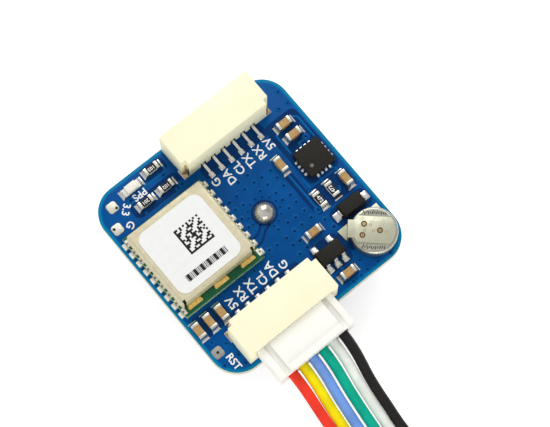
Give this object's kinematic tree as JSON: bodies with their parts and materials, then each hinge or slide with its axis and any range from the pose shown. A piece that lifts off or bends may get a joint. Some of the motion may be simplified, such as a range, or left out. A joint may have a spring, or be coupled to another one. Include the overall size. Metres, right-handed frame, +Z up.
{
  "type": "gps module",
  "caption": "Square satellite positioning and compass board on a ceramic patch antenna, with a screened receiver, side-entry headers and a plugged, coiled wire lead.",
  "frame": {"origin": "centre of the antenna's face, at the base, under the board's centre", "axes": "+Z up through the board, component side up; +Y from the plugged header to the free header; +X along the headers"},
  "size_m": [0.0362, 0.0603, 0.0093],
  "materials": {
    "board_blue": "glossy blue solder mask",
    "antenna_ceramic": "matt fired ceramic",
    "silver_film": "fired silver",
    "tape_foam": "adhesive foam",
    "tin": "bright tin",
    "receiver_green": "glossy green solder mask",
    "can_tin": "tinned sheet, satin",
    "gold": "gold plate",
    "label_white": "matt white",
    "housing_cream": "moulded nylon",
    "plug_white": "moulded nylon",
    "terminal": "tinned bronze",
    "package_black": "moulded epoxy",
    "cell_steel": "satin nickel plate",
    "lamp_white": "clear resin on white",
    "resistor_black": "glazed",
    "capacitor_tan": "fired",
    "wire_red": "insulation",
    "wire_yellow": "insulation",
    "wire_blue": "insulation",
    "wire_green": "insulation",
    "wire_white": "insulation",
    "wire_black": "insulation",
    "tie_white": "plastic strap"
  },
  "bodies": {
    "root": {"board": "board_blue", "antenna_ceramic": "antenna_ceramic", "antenna_electrode": "silver_film", "antenna_tape": "tape_foam", "antenna_feed_pin": "tin", "feed_solder": "tin", "receiver_board": "receiver_green", "receiver_shield": "can_tin", "receiver_shield_lugs": "gold", "receiver_label": "label_white", "free_header_housing": "housing_cream", "free_header_contacts": "tin", "free_header_tabs": "tin", "cable_header_housing": "housing_cream", "cable_header_contacts": "tin", "cable_header_tabs": "tin", "compass_chip": "package_black", "compass_terminals": "tin", "regulator_body": "package_black", "regulator_leads": "tin", "diode_body": "package_black", "diode_leads": "tin", "backup_cell_can": "cell_steel", "backup_cell_top_tab": "cell_steel", "backup_cell_base_tab": "cell_steel", "indicator_lamp": "lamp_white", "resistor_1": "resistor_black", "resistor_2": "resistor_black", "resistor_3": "resistor_black", "resistor_4": "resistor_black", "resistor_5": "resistor_black", "capacitor_1": "capacitor_tan", "capacitor_2": "capacitor_tan", "capacitor_3": "capacitor_tan", "capacitor_4": "capacitor_tan", "capacitor_5": "capacitor_tan", "capacitor_6": "capacitor_tan", "capacitor_7": "capacitor_tan", "capacitor_8": "capacitor_tan", "capacitor_9": "capacitor_tan", "plug_housing": "plug_white", "plug_terminals": "terminal", "far_plug_housing": "plug_white", "far_plug_terminals": "terminal", "wire_red": "wire_red", "wire_yellow": "wire_yellow", "wire_blue": "wire_blue", "wire_green": "wire_green", "wire_white": "wire_white", "wire_black": "wire_black", "wire_tail_red": "wire_red", "wire_tail_yellow": "wire_yellow", "wire_tail_blue": "wire_blue", "wire_tail_green": "wire_green", "wire_tail_white": "wire_white", "wire_tail_black": "wire_black", "lead_coil": "wire_black", "coil_tie": "tie_white"}
  },
  "joints": []
}
